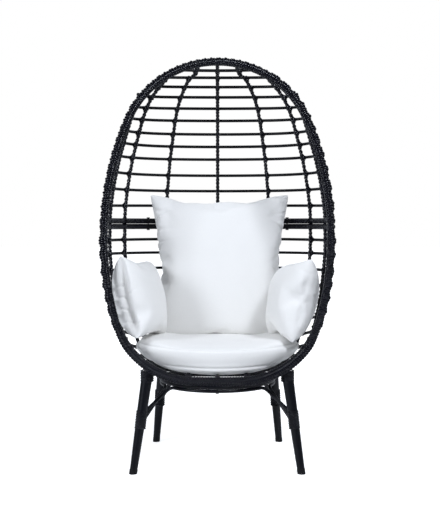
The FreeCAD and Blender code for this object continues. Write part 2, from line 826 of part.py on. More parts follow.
def seat_section(height, half_width, front, back):
    """The cushion's outline at a height, stretched to its half width and its front and back edges."""
    across = half_width / seat_half_width
    along = (back - front) / SEAT_DEPTH
    setback = size("mouthSetback") + front

    def placed(p):
        return V(p.x * across, setback + p.y * along, height)

    right = []
    for edge in seat_line.edges():
        first, last = edge.FirstParameter, edge.LastParameter
        right.append([placed(edge.valueAt(first + (last - first) * share)) for share in (0.0, 0.5, 1.0)])
    left = [[mirrored(p) for p in reversed(stops)] for stops in reversed(right)]
    return Part.Wire([Part.Arc(*stops).toShape() for stops in right + left])


seat_wires = [seat_section(*section) for section in SEAT_SECTIONS]
shaped("seat_cushion", Part.makeLoft(seat_wires, True, True))


def pillow(width, height, thickness, drawn_in, drawn_up):
    """A square pillow on edge: four pointed corners, drawn-in sides and a crown on both faces."""
    wires = []
    for share, spread in PILLOW_CROWN:
        half_width = width / 2 * spread
        half_height = height / 2 * spread
        inset = drawn_in * spread
        y = thickness / 2 * share
        corners = [V(-half_width, y, -half_height), V(half_width, y, -half_height),
                   V(half_width, y, half_height), V(-half_width, y, half_height)]
        middles = [V(0, y, drawn_up * spread - half_height), V(half_width - inset, y, 0),
                   V(0, y, half_height - inset), V(inset - half_width, y, 0)]
        edges = [
            Part.Arc(corners[n], middles[n], corners[(n + 1) % 4]).toShape() for n in range(4)
        ]
        wires.append(Part.Wire(edges))
    return Part.makeLoft(wires, True, False)


back = pillow(*BACK_PILLOW)
back_cushion = shaped("back_cushion", back)
back_cushion.Placement = FreeCAD.Placement(
    V(0, size("mouthSetback") + BACK_PLACE[0], BACK_PLACE[1]), FreeCAD.Rotation(X, -BACK_LEAN)
)

arm = pillow(*ARM_PILLOW)
for name, side in (("left_arm_cushion", -1), ("right_arm_cushion", 1)):
    turn = math.radians(ARM_TURN)
    tip = math.radians(ARM_LEAN)
    inward = V(-side * math.cos(turn), -math.sin(turn), 0)
    across = V(-side * math.sin(turn), math.cos(turn), 0)
    upward = Z * math.cos(tip) - inward * math.sin(tip)
    facing = upward.cross(across)
    cushion = shaped(name, arm)
    cushion.Placement = FreeCAD.Placement(
        V(side * ARM_PLACE[0], size("mouthSetback") + ARM_PLACE[1], ARM_PLACE[2]),
        FreeCAD.Rotation(across, facing, upward, "ZXY"),
    )

doc.recompute()
for name, thing in made.items():
    faults = [state for state in thing.State if state in ("Invalid", "Error")]
    if faults or thing.Shape.isNull() or not thing.Shape.isValid():
        raise SystemExit(f"{name} has no sound shape: {thing.State}")

os.makedirs("parts", exist_ok=True)
for name, thing in made.items():
    thing.Shape.exportStep(f"parts/{name}.step")
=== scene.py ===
# %% [markdown]
# # A standing egg chair
# The chair is a tall egg of bent tube and wicker on four splayed legs, with four white cushions in it.
# Its sizes and joints come from a packed engineering model, which is loaded here and never moved. What
# is built here is what that model leaves out: the weave on the tubes, the lashings, the cushions and
# the finishes. Lengths are in metres, Z is up and the chair faces -Y.

import bmesh
import bpy
import math
import random

import numpy as np
from mathutils import Matrix, Vector


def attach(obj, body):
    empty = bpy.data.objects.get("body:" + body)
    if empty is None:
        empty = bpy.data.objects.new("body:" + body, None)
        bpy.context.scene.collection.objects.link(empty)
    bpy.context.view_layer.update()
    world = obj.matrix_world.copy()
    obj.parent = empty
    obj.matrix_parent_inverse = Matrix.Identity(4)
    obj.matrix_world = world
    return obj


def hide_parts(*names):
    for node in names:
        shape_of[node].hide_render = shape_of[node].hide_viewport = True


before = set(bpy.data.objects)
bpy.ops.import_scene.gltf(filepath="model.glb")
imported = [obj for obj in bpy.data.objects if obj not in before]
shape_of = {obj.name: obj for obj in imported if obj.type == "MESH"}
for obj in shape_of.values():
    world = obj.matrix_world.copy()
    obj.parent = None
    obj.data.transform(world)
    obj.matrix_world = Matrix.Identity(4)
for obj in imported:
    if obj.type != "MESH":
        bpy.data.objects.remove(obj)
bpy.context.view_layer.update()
random.seed(7)

# %% [markdown]
# The photograph was taken from in front, at the height of the chair's belt and almost level. The camera
# comes first, so that every later step can be judged against the photograph's outline. How far away it
# stood can't be told from one picture: 3.4 metres is a distance that fits. It looks down by 2 degrees.

# %% Camera at the photograph's viewpoint
MOUTH_Y = -0.16867
BELT_Z = 0.887
CAMERA_DISTANCE = 3.4
CAMERA_ASIDE = 0.0096


def in_scene(name, data):
    """A new object made of some data, linked into the scene."""
    thing = bpy.data.objects.new(name, data)
    bpy.context.scene.collection.objects.link(thing)
    return thing


camera_data = bpy.data.cameras.new("camera")
camera_data.sensor_width = 36.0
camera_data.lens = 65.0
camera = in_scene("camera", camera_data)
camera.location = (CAMERA_ASIDE, MOUTH_Y - CAMERA_DISTANCE, BELT_Z)
camera.rotation_euler = (math.radians(90.0 - 2.0), 0.0, 0.0)
bpy.context.scene.camera = camera
print("camera", tuple(round(v, 3) for v in camera.location))

# %% [markdown]
# Every bar of the frame is a round tube, and all the weave follows the middle of those tubes. The
# middle line could be typed in again, but it is safer to read it from the model: each corner of a
# tube's surface, moved inwards by the tube's radius, lies on it. Walking along in small steps gives the
# line in order.


# %% Read the middle line of a tube
def moved_inwards(node, radius):
    """A tube's points, and where its triangles' edges start and end once they lie on its middle line."""
    mesh = shape_of[node].data
    corner = np.empty(len(mesh.loops), np.int32)
    mesh.loops.foreach_get("vertex_index", corner)
    surface = np.empty(len(mesh.vertices) * 3, np.float32)
    mesh.vertices.foreach_get("co", surface)
    normal = np.empty(len(mesh.loops) * 3, np.float32)
    mesh.corner_normals.foreach_get("vector", normal)
    surface = surface.reshape(-1, 3).astype(float)
    starts = surface[corner] - normal.reshape(-1, 3).astype(float) * radius
    ends = starts.reshape(-1, 3, 3)[:, [1, 2, 0]].reshape(-1, 3)
    return surface, starts, ends


def cut_by_plane(starts, ends, point, way, reach):
    """Where edges pass through the plane across a direction, within reach of a point."""
    before = (starts - point) @ way
    after = (ends - point) @ way
    cut = before * after < 0
    share = before[cut] / (before[cut] - after[cut])
    hits = starts[cut] + (ends[cut] - starts[cut]) * share[:, None]
    return hits[np.linalg.norm(hits - point, axis=1) < reach]


# %% [markdown]
# The walk starts at the middle of a long edge and goes both ways. It stops where no edge is left, or
# where a closed ring comes back to its start. What is left of the tube beyond its last step is added as
# one more.

# %% Walk along a tube
MOST_STEPS = 800
LAST_STRETCH = 0.024


def middle_line(node, radius, step=0.012):
    """Points a step apart along the middle of a tube of the model."""
    surface, starts, ends = moved_inwards(node, radius)
    spans = np.linalg.norm(ends - starts, axis=1)
    longest = np.argsort(-spans)[: max(30, len(spans) // 50)]
    halves = (starts[longest] + ends[longest]) / 2
    seed = longest[np.argmin(np.linalg.norm(halves - np.median(starts, axis=0), axis=1))]
    first = (starts[seed] + ends[seed]) / 2
    heading = (ends[seed] - starts[seed]) / spans[seed]
    sides = []
    for way in (heading, -heading):
        walked = []
        point = first
        while len(walked) < MOST_STEPS:
            near = cut_by_plane(starts, ends, point, way, max(0.4 * radius, 0.002))
            if len(near) < 3:
                break
            found = np.median(near, axis=0)
            if len(walked) > 10 and np.linalg.norm(found - first) < step * 0.6:
                break
            if walked:
                way = (found - walked[-1]) / np.linalg.norm(found - walked[-1])
            walked.append(found)
            point = found + way * step
        beyond = (surface - walked[-1]) @ way
        aside = np.linalg.norm(surface - walked[-1] - beyond[:, None] * way, axis=1)
        rest = beyond[(beyond > 0) & (beyond < LAST_STRETCH) & (aside < 1.3 * radius)]
        if len(rest):
            walked.append(walked[-1] + way * rest.max())
        sides.append(walked)
    return np.array(sides[1][:0:-1] + sides[0])


def distance_along(line):
    """How far each point of a line is from its start."""
    return np.concatenate([[0.0], np.cumsum(np.linalg.norm(np.diff(line, axis=0), axis=1))])


def spaced(line, spacing):
    """The same line with its points an even distance apart."""
    lengths = distance_along(line)
    count = max(2, round(lengths[-1] / spacing) + 1)
    at = np.linspace(0.0, lengths[-1], count)
    return np.stack([np.interp(at, lengths, line[:, axis]) for axis in range(3)], axis=1)


# %% Middle lines of all the wrapped tubes
RODS = sorted(name for name in shape_of if "_rod_" in name)
RIBS = sorted(name for name in shape_of if name.endswith("_rib"))
RIMS = ["upper_rim", "lower_rim"]
RAILS = ["upper_belt_rail", "lower_belt_rail"]
ROD_RADIUS = 0.005
RIB_RADIUS = 0.007
RIM_RADIUS = 0.01475
RAIL_RADIUS = 0.011
RIB_STEP = 0.007

lines = {name: middle_line(name, ROD_RADIUS) for name in RODS}
lines.update({name: middle_line(name, RIB_RADIUS, RIB_STEP) for name in RIBS})
lines.update({name: middle_line(name, RIM_RADIUS) for name in RIMS})
lines.update({name: middle_line(name, RAIL_RADIUS) for name in RAILS})
for name in RIMS + RAILS + RIBS[:3] + RODS[:3]:
    print(name, len(lines[name]), "points,", round(float(distance_along(lines[name])[-1]), 3), "m")

# %% [markdown]
# Each material is made of a few procedural nodes that read the object's own coordinates, in metres. A
# noise shifts the colour a little, because no moulded strip or woven cloth is one flat tone. The same
# noise varies the gloss and sets the fine relief that the light picks out.

# %% Materials
GLOSS_SPREAD = 0.06


def add_node(tree, kind, values=None, operation=None):
    """A new shader node with its own values set."""
    made = tree.nodes.new(kind)
    if operation:
        made.operation = operation
    for socket, value in (values or {}).items():
        made.inputs[socket].default_value = value
    return made


def material(name, dark, light, rough, grain, relief, shine=0.5, sheen=0.0):
    """A surface between two tones, with a grain size in metres and a relief depth."""
    made = bpy.data.materials.new(name)
    made.use_nodes = True
    tree = made.node_tree
    link = tree.links.new
    shader = tree.nodes["Principled BSDF"]
    shader.inputs["Specular IOR Level"].default_value = shine
    shader.inputs["Sheen Weight"].default_value = sheen
    where = add_node(tree, "ShaderNodeTexCoord")
    noise = add_node(tree, "ShaderNodeTexNoise", {"Scale": 1.0 / grain, "Detail": 3.0})
    link(where.outputs["Object"], noise.inputs["Vector"])
    tones = add_node(tree, "ShaderNodeValToRGB")
    for stop, position, tone in zip(tones.color_ramp.elements, (0.3, 0.7), (dark, light)):
        stop.position = position
        stop.color = (*tone, 1.0)
    link(noise.outputs["Fac"], tones.inputs["Fac"])
    link(tones.outputs["Color"], shader.inputs["Base Color"])
    limits = {"To Min": rough - GLOSS_SPREAD, "To Max": rough + GLOSS_SPREAD}
    gloss = add_node(tree, "ShaderNodeMapRange", limits)
    link(noise.outputs["Fac"], gloss.inputs["Value"])
    link(gloss.outputs["Result"], shader.inputs["Roughness"])
    bump = add_node(tree, "ShaderNodeBump", {"Distance": relief, "Strength": 1.0})
    link(noise.outputs["Fac"], bump.inputs["Height"])
    link(bump.outputs["Normal"], shader.inputs["Normal"])
    return made


wicker = material("wicker", dark=(0.001, 0.001, 0.003), light=(0.003, 0.003, 0.008),
                  rough=0.22, grain=0.012, relief=0.0003, shine=0.4)
plain_wicker = material("wicker_rods", dark=(0.001, 0.001, 0.002), light=(0.004, 0.004, 0.006),
                        rough=0.45, grain=0.010, relief=0.0002, shine=0.2)
paint = material("frame_paint", dark=(0.002, 0.002, 0.004), light=(0.004, 0.005, 0.008),
                 rough=0.34, grain=0.004, relief=0.00008, shine=0.25)
rubber = material("cap_rubber", dark=(0.003, 0.003, 0.004), light=(0.007, 0.007, 0.008),
                  rough=0.55, grain=0.003, relief=0.0001, shine=0.25)
steel = material("bolt_steel", dark=(0.030, 0.030, 0.032), light=(0.060, 0.060, 0.064),
                 rough=0.38, grain=0.002, relief=0.00005)
steel.node_tree.nodes["Principled BSDF"].inputs["Metallic"].default_value = 0.9
cloth = material("cushion_fabric", dark=(0.82, 0.81, 0.785), light=(0.88, 0.87, 0.845),
                 rough=0.85, grain=0.0012, relief=0.00012, sheen=0.2)
SLOTS = {"wicker": wicker, "frame_paint": paint, "cap_rubber": rubber, "bolt_steel": steel,
         "cushion_fabric": cloth}
print("materials", len(SLOTS) + 1)

# %% [markdown]
# Every part of the model gets a finish by what it is. Most of the bars are covered by their weave
# later, but the legs, arches and seat ring are plain painted tube, and they stay as the model has them.


# %% Finishes of the model's own parts
def dress(thing, slot, finish=None):
    """Gives an object its one material: a finish of its own, or else that of its slot."""
    thing.data.materials.clear()
    thing.data.materials.append(finish or SLOTS[slot])


for name, node in shape_of.items():
    if "cushion" in name:
        dress(node, "cushion_fabric")
    elif "bolts" in name:
        dress(node, "bolt_steel")
    elif "caps" in name:
        dress(node, "cap_rubber")
    elif name.endswith(("_leg", "_arch")) or name == "seat_ring":
        dress(node, "frame_paint")
    else:
        dress(node, "wicker")
print("painted", [name for name in shape_of if shape_of[name].data.materials[0] == paint])

# %% [markdown]
# Wicker here is a round plastic strand laid in many ways, so two makers serve all of it. One turns
# paths of points into strands. The other repeats a small ring, which is a strand wound once round a
# tube.


# %% Directions along a line
def tangents(line):
    """The direction of a line at each of its points."""
    ways = np.gradient(line, axis=0)
    return ways / np.linalg.norm(ways, axis=1)[:, None]


def square_to(ways, other):
    """The part of a direction that is square to each tangent, one unit long."""
    kept = other - (other * ways).sum(axis=1)[:, None] * ways
    return kept / np.linalg.norm(kept, axis=1)[:, None]


def eased(share):
    """A share from 0 to 1 with a soft start and a soft end."""
    share = np.clip(share, 0.0, 1.0)
    return share * share * (3 - 2 * share)


# %% Maker of strands
def baked(thing):
    """The mesh of an object with its curve or its modifiers worked in."""
    return bpy.data.meshes.new_from_object(thing.evaluated_get(bpy.context.evaluated_depsgraph_get()))


def strands(name, paths, thickness, sides=1):
    """One mesh of round strands that follow paths of points."""
    curve = bpy.data.curves.new(name, "CURVE")
    curve.dimensions = "3D"
    curve.bevel_depth = thickness / 2
    curve.bevel_resolution = sides
    curve.use_fill_caps = True
    for path in paths:
        spline = curve.splines.new("POLY")
        spline.points.add(len(path) - 1)
        spline.points.foreach_set("co", np.hstack([path, np.ones((len(path), 1))]).ravel())
        spline.use_smooth = True
    holder = in_scene(name + "_path", curve)
    bpy.context.view_layer.update()
    mesh = baked(holder)
    bpy.data.objects.remove(holder)
    bpy.data.curves.remove(curve)
    return mesh


# %% Maker of rings
def ring(radius, width, thickness, steps=14, sides=6):
    """A strand bent once round a tube: a flattened round section, spun."""
    mesh = bmesh.new()
    made = bmesh.ops.create_circle(mesh, segments=sides, radius=0.5)
    bmesh.ops.scale(mesh, vec=(thickness, width, 1.0), verts=made["verts"])
    upright = Matrix.Rotation(math.pi / 2, 3, "X")
    bmesh.ops.rotate(mesh, cent=(0, 0, 0), matrix=upright, verts=made["verts"])
    bmesh.ops.translate(mesh, vec=(radius + thickness / 2, 0, 0), verts=made["verts"])
    bmesh.ops.spin(mesh, geom=mesh.edges[:], cent=(0, 0, 0), axis=(0, 0, 1), angle=2 * math.pi,
                   steps=steps, use_merge=True)
    bmesh.ops.recalc_face_normals(mesh, faces=mesh.faces[:])
    template = bpy.data.meshes.new("ring")
    mesh.to_mesh(template)
    mesh.free()
    return template


def copies(template, places):
    """One mesh that repeats a template at each placing."""
    mesh = bmesh.new()
    for place in places:
        moved = template.copy()
        moved.transform(place)
        mesh.from_mesh(moved)
        bpy.data.meshes.remove(moved)
    made = bpy.data.meshes.new("copies")
    mesh.to_mesh(made)
    mesh.free()
    return made


def placing(point, across, along, grow=(1.0, 1.0, 1.0), tilt=0.0):
    """A matrix that lays a ring's axis along a line, its first side facing across."""
    x = Vector(across)
    z = Matrix.Rotation(tilt, 3, x) @ Vector(along)
    y = z.cross(x)
    side = Matrix((x * grow[0], y * grow[1], z * grow[2])).transposed()
    return Matrix.Translation(Vector(point)) @ side.to_4x4()


# %% A finished piece of weave
def piece(name, meshes, body, slot, hides, finish=None):
    """One finished object from some meshes, riding on a body in the place of parts of the model."""
    joined = bmesh.new()
    for mesh in meshes:
        joined.from_mesh(mesh)
        bpy.data.meshes.remove(mesh)
    made = bpy.data.meshes.new(name)
    joined.to_mesh(made)
    joined.free()
    made.shade_smooth()
    thing = in_scene(name, made)
    dress(thing, slot, finish)
    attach(thing, body)
    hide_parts(*hides)
    print(name, len(made.polygons), "faces")


# %% [markdown]
# The rim is a tube with a tight wrap, and along its front lie two ridges: a rope of two strands on the
# outside and a chain of small loops on the inside. Where a rod's end is lashed to the rim, the wrap and
# the rope swell outwards over it, so the outline of the chair is knobbly there. Between those ends the
# rope still rises and falls in small scallops, mostly above the belt. At the bottom the rim is thicker,
# where it is tied down. All of this is one number for each point of the rim: how far the wrap stands
# out there.

# %% How far the rim's wrap stands out
LEAN = math.radians(11.93)
FRONT = np.array([0.0, -math.cos(LEAN), math.sin(LEAN)])
MOUTH_MIDDLE = np.array([0.0, MOUTH_Y, BELT_Z])
RIM_SPACING = 0.002
LASHED_WITHIN = 0.032
BUMP_LENGTH = 0.015
SCALLOP_HEIGHT = 0.0036
SCALLOP_LENGTH = 0.026
TIED_BELOW = 0.52

rim_lines = {name: spaced(lines[name], RIM_SPACING) for name in RIMS}
rim_points = np.concatenate([rim_lines[name] for name in RIMS])


def bump_height(end):
    """How far a lashed rod's end stands out of the rim. One that butts against the rim doesn't."""
    outset = np.linalg.norm(rim_points - end, axis=1).min()
    if outset > LASHED_WITHIN:
        return 0.0
    full = 0.0065
    if end[2] > BELT_Z:
        full = 0.0055 if end[0] > 0 else 0.0020
    return full * min(1.0, max(0.0, outset / 0.012 - 0.6))


rod_ends = [end for name in RODS for end in (lines[name][0], lines[name][-1])]
rod_ends = [(end, bump_height(end)) for end in rod_ends]
print("lashed ends", sum(height > 0 for _, height in rod_ends), "of", len(rod_ends))


def swelling(points):
    """How far the wrap stands out at points of the rim."""
    out = np.zeros(len(points))
    for end, height in rod_ends:
        near = np.linalg.norm(points - end, axis=1)
        if near.min() < LASHED_WITHIN:
            span = np.linalg.norm(points - points[near.argmin()], axis=1)
            out = np.maximum(out, height * np.exp(-((span / BUMP_LENGTH) ** 2)))
    wave = 0.5 + 0.5 * np.cos(2 * math.pi * distance_along(points) / SCALLOP_LENGTH)
    scallop = SCALLOP_HEIGHT * wave ** 1.5
    out += np.where(points[:, 2] > BELT_Z, scallop, 0.4 * scallop)
    tied = np.where(points[:, 0] > 0, 0.0080, 0.0060) * eased((TIED_BELOW - points[:, 2]) / 0.08)
    return np.maximum(out, tied)


# %% [markdown]
# A wrap could be one long spiral, but rings side by side look the same, and each of them can lean and
# swell by its own amount. The ridges lie on the front of the tube, at its outer and its inner shoulder.

# %% Wrap, rope and chain of the rim
WRAP_PITCH = 0.0076
WRAP_ACROSS = 0.0260
SHOULDER = 0.0078
ROPE_PITCH = 0.0212
ROPE_TWIST = 0.0040
LOOP_PITCH = 0.0100


def rim_piece(name):
    """The weave of one half of the rim."""
    line = rim_lines[name]
    ways = tangents(line)
    out = np.cross(ways, np.broadcast_to(FRONT, line.shape))
    out *= np.sign((out * (line - MOUTH_MIDDLE)).sum(axis=1))[:, None]
    swell = swelling(line)
    length = distance_along(line)
    wraps = []
    for at in np.arange(0.004, length[-1], WRAP_PITCH):
        i = int(np.searchsorted(length, at))
        bulge = swell[i]
        grow = (1 + bulge / WRAP_ACROSS, 1 + 0.35 * bulge / WRAP_ACROSS, 1.0)
        tilt = 0.18 + random.uniform(-0.08, 0.08)
        wraps.append(placing(line[i] + out[i] * (bulge / 2), out[i], ways[i], grow, tilt))
    rope = []
    for turn in (0.0, math.pi):
        angle = 2 * math.pi * length / ROPE_PITCH + turn
        centre = line + out * (0.0080 + 0.9 * swell)[:, None] + FRONT * SHOULDER
        twist = out * np.cos(angle)[:, None] + FRONT * np.sin(angle)[:, None]
        rope.append(centre + twist * ROPE_TWIST)
    loops = []
    for at in np.arange(0.003, length[-1], LOOP_PITCH):
        i = int(np.searchsorted(length, at))
        tilt = 0.25 + random.uniform(-0.15, 0.15)
        loops.append(placing(line[i] - out[i] * SHOULDER + FRONT * SHOULDER, out[i], ways[i], tilt=tilt))
    cords = [line + out * (-SHOULDER + side * 0.0026) + FRONT * 0.0100 for side in (-1.0, 1.0)]
    piece(name + "_weave", [
        copies(ring(radius=0.0104, width=0.0080, thickness=0.0026), wraps),
        strands("rope", rope, 0.0062),
        copies(ring(radius=0.0030, width=0.0056, thickness=0.0034, steps=10), loops),
        strands("cords", cords, 0.0032),
        strands("core", [line], 0.0220),
    ], "basket", "wicker", [name])


for name in RIMS:
    rim_piece(name)

# %% [markdown]
# The cross rods are smooth. Their ends tuck in behind the rim, further where the lashing is flat, so
# each rod is drawn again along its own middle line with its last few centimetres moved inwards.

# %% Cross rods
HALVES = ("upper", "lower")
ROD_THICKNESS = 0.0119
TUCK_LENGTH = 0.07


def tucked(line):
    """A rod's line with both ends drawn in behind the rim."""
    path = spaced(line, 0.010)
    from_start = distance_along(path)
    for end, distance in ((0, from_start), (-1, from_start[-1] - from_start)):
        tip = path[end].copy()
        inwards = MOUTH_MIDDLE - tip
        inwards -= FRONT * (inwards @ FRONT)
        inwards /= np.linalg.norm(inwards)
        near = rim_points[np.linalg.norm(rim_points - tip, axis=1).argmin()]
        if np.linalg.norm(tip - near) < LASHED_WITHIN:
            shift = max(0.0, (near - tip) @ inwards - 0.0066 - bump_height(tip))
            path += inwards * (shift * eased(1 - distance / TUCK_LENGTH))[:, None]
    return path


for half in HALVES:
    names = [name for name in RODS if name.startswith(half)]
    rods = strands("rods", [tucked(lines[name]) for name in names], ROD_THICKNESS, sides=3)
    piece(half + "_rods_weave", [rods], "basket", "wicker", names, plain_wicker)

# %% [markdown]
# Each rib is a thin tube with two broad strands twisted over it, which gives the slanting glints. Rods
# cross behind the ribs, so the next step is to find where: the pair of points at which a rib and a rod
# are nearest.

# %% Strands of a rib, and where rods cross it
BASKET_MIDDLE = np.array([0.0, -0.04, 0.90])
RIB_TWIST_PITCH = 0.030
RIB_TWIST = 0.0037
TOUCHING = 0.0145


def rib_strands(name):
    """The paths of the two strands that are twisted over a rib."""
    line = spaced(lines[name], 0.0026)
    ways = tangents(line)
    out = square_to(ways, line - BASKET_MIDDLE)
    across = np.cross(ways, out)
    length = distance_along(line)
    paths = []
    for turn in (0.0, math.pi):
        angle = 2 * math.pi * length / RIB_TWIST_PITCH + turn
        twist = across * np.cos(angle)[:, None] + out * np.sin(angle)[:, None]
        paths.append(line + twist * RIB_TWIST)
    return paths


def crossings(rib):
    """Where rods pass a rib: the rib's point, the rod's point and both directions there."""
    found = []
    rib_line = spaced(lines[rib], 0.003)
    rib_ways = tangents(rib_line)
    for rod in RODS:
        if rod.split("_")[0] != rib.split("_")[0]:
            continue
        rod_line = spaced(lines[rod], 0.003)
        gaps = np.linalg.norm(rib_line[:, None, :] - rod_line[None, :, :], axis=2)
        i, k = np.unravel_index(gaps.argmin(), gaps.shape)
        inside = 10 < k < len(rod_line) - 11 and 5 < i < len(rib_line) - 6
        if inside and gaps[i, k] < TOUCHING:
            found.append((rib_line[i], rod_line[k], rib_ways[i], tangents(rod_line)[k]))
    return found


# %% [markdown]
# At each crossing two bands cross over the rib and the rod. On the side that faces away from the
# chair's middle, strands also leave the rib, run out along the rod for a finger's width and fill the
# corner, which rounds the corners of the openings. They end under a small band of their own. Where a
# rod crosses the middle line of the chair no side faces away, so there are only the bands.

# %% Lashings where rods cross the ribs
BESIDE_MIDDLE = 0.03
BAND_RADIUS = 0.0072
CORNER_STRANDS = ((0.016, 0.013), (0.010, 0.008))
band = ring(BAND_RADIUS, width=0.0062, thickness=0.0022, steps=12)
small_band = ring(radius=0.0042, width=0.0050, thickness=0.0018, steps=10)


def lashing(spot, rod_spot, up, outer, away):
    """Strands that run from a rib to a rod in the corners above and below the rod."""
    if up[2] < 0:
        up = -up
    paths = []
    for turn in (1.0, -1.0):
        for reach, run in CORNER_STRANDS:
            share = np.linspace(0.0, 1.0, 7)
            start = spot + up * turn * reach + outer * 0.0035 + away * 0.003
            bend = spot + outer * 0.0065 + up * turn * 0.004 + away * 0.006
            end = rod_spot + outer * run + up * turn * 0.0022
            curve = ((1 - share) ** 2)[:, None] * start + (2 * share * (1 - share))[:, None] * bend
            paths.append(curve + (share ** 2)[:, None] * end)
    return paths


ordered_ribs = [name for half in HALVES for name in RIBS if name.startswith(half)]
for rib in ordered_ribs:
    bands = []
    small = []
    corners = []
    lean = 0.15 if "middle" in rib else 0.5
    for spot, rod_spot, up, along in crossings(rib):
        gap = np.linalg.norm(rod_spot - spot)
        away = (rod_spot - spot) / gap
        grow = ((gap / 2 + 0.0068) / BAND_RADIUS, 1.0, 1.0)
        bands += [placing((spot + rod_spot) / 2, away, up, grow, tilt) for tilt in (lean, -lean)]
        if abs(spot[0]) > BESIDE_MIDDLE:
            outer = along * math.copysign(1.0, along[0] * spot[0])
            corners += lashing(spot, rod_spot, up, outer, away)
            small.append(placing(rod_spot + outer * 0.0125, np.cross(outer, away), outer))
    meshes = [strands("twist", rib_strands(rib), 0.0086),
              strands("core", [spaced(lines[rib], 0.01)], 0.0120)]
    meshes += [copies(band, bands)] if bands else []
    meshes += [copies(small_band, small)] if small else []
    meshes += [strands("corner", corners, 0.0046)] if corners else []
    piece(rib + "_weave", meshes, "basket", "wicker", [rib])

# %% [markdown]
# The belt is two bundles of strips laid lengthwise round the back. Thin strands side by side over each
# rail give the lines that run along it, and wraps close the bundle at its ends and where a rib crosses.

# %% Belt rails
STRIPS = 12
STRIP_OUT = 0.0088
END_WRAPS = 9

for name in RAILS:
    line = spaced(lines[name], 0.010)
    ways = tangents(line)
    out = square_to(ways, line - np.array([0.0, -0.05, line[0][2]]))
    rise = np.cross(ways, out)
    angles = [2 * math.pi * k / STRIPS for k in range(STRIPS)]
    strips = [line + (out * math.cos(angle) + rise * math.sin(angle)) * STRIP_OUT for angle in angles]
    wraps = []
    for end, i, inwards in ((0, 1, 1), (-1, -2, -1)):
        for k in range(END_WRAPS):
            spot = line[end] + ways[i] * inwards * (0.004 + 0.0068 * k)
            wraps.append(placing(spot, out[i], ways[i], tilt=0.12))
    for tip in [lines[rib][end] for rib in RIBS for end in (0, -1)]:
        near = np.linalg.norm(line - tip, axis=1)
        if near.min() < 0.03:
            i = int(near.argmin())
            for k in (-1.0, 0.0, 1.0):
                wraps.append(placing(line[i] + ways[i] * 0.0065 * k, out[i], ways[i], tilt=0.1 * k))
    piece(name + "_weave", [
        strands("strips", strips, 0.0044),
        strands("core", [line], 0.0170),
        copies(ring(radius=0.0103, width=0.0070, thickness=0.0018), wraps),
    ], "basket", "wicker", [name])

# %% [markdown]
# The bindings on the legs are woven, not wound: each row goes over and under eight upright stakes, and
# the next row does the opposite, which makes the dotted look. The model has them all in one mesh, so it
# is first taken apart into its sleeves, and each sleeve is measured for its axis, its length and its
# radius.


# %% Woven bindings on the legs
def loose_parts(mesh):
    """The points of each part of a mesh that isn't joined to the others."""
    merged = bmesh.new()
    merged.from_mesh(mesh)
    bmesh.ops.remove_doubles(merged, verts=merged.verts[:], dist=0.00001)
    parts = []
    seen = set()
    for first in merged.verts:
        if first in seen:
            continue
        seen.add(first)
        part = [first]
        for vert in part:
            for edge in vert.link_edges:
                other = edge.other_vert(vert)
                if other not in seen:
                    seen.add(other)
                    part.append(other)
        parts.append(np.array([vert.co[:] for vert in part]))
    merged.free()
    return parts


ROW_HEIGHT = 0.0046
STAKES = 8
sleeves = loose_parts(shape_of["leg_bindings"].data)
weave = []
for points in sleeves:
    bottom = points[points[:, 2] < points[:, 2].min() + 0.012].mean(axis=0)
    top = points[points[:, 2] > points[:, 2].max() - 0.012].mean(axis=0)
    axis = (top - bottom) / np.linalg.norm(top - bottom)
    span = (points - bottom) @ axis
    radius = np.linalg.norm(points - bottom - span[:, None] * axis, axis=1)
    outer = float(np.percentile(radius, 90))
    across = square_to(axis[None, :], np.array([[1.0, 0.0, 0.0]]))[0]
    other = np.cross(axis, across)
    turn = np.linspace(0.0, 2 * math.pi, 49)
    circle = across * np.cos(turn)[:, None] + other * np.sin(turn)[:, None]
    for row in range(int((span.max() - span.min()) / ROW_HEIGHT) + 1):
        centre = bottom + axis * (span.min() + ROW_HEIGHT / 2 + row * ROW_HEIGHT)
        wave = 0.0010 * np.cos(STAKES * turn + math.pi * row)
        weave.append(centre + circle * (outer - 0.0020 + wave)[:, None])
print("sleeves", len(sleeves), "rows", len(weave))
piece("leg_bindings_weave", [strands("rows", weave, 0.0044)], "basket", "wicker", ["leg_bindings"])

# %% [markdown]
# A loose pillow is two sheets sewn together round the edge and filled. It could be sculpted by hand,
# but the cloth solver gives the shape that cloth really takes: under pressure the sheets pull each
# other in, so the sides draw inwards, the corners stay out as ears and small folds run in from the
# seam.


# %% Blowing up cloth
def inflated(thing, frames, pressure, stiffness, bending, pins=None):
    """The mesh of an object after the cloth solver has blown it up."""
    solver = thing.modifiers.new("cloth", "CLOTH")
    settings = solver.settings
    settings.quality = 6
    settings.mass = 0.2
    settings.tension_stiffness = stiffness
    settings.compression_stiffness = stiffness
    settings.shear_stiffness = stiffness / 2
    settings.bending_stiffness = bending
    settings.use_pressure = True
    settings.uniform_pressure_force = pressure
    settings.effector_weights.gravity = 0.0
    if pins:
        settings.vertex_group_mass = pins
    solver.collision_settings.use_collision = False
    solver.point_cache.frame_start = 1
    solver.point_cache.frame_end = frames
    scene = bpy.context.scene
    for frame_number in range(1, frames + 1):
        scene.frame_set(frame_number)
    bpy.context.view_layer.update()
    mesh = baked(thing)
    thing.modifiers.remove(solver)
    scene.frame_set(1)
    return mesh


# %% Reading, changing and finishing soft pieces
def vectors(data, field, count):
    """One vector for each point of a mesh, as an array."""
    values = np.empty(count * 3, np.float32)
    data.foreach_get(field, values)
    return values.reshape(-1, 3).astype(float)


def read(mesh, name="position"):
    """The places of a mesh's points, or another vector that they carry."""
    return vectors(mesh.attributes[name].data, "vector", len(mesh.vertices))


def normals(mesh):
    """The directions in which a mesh's points face."""
    return vectors(mesh.vertex_normals, "vector", len(mesh.vertices))


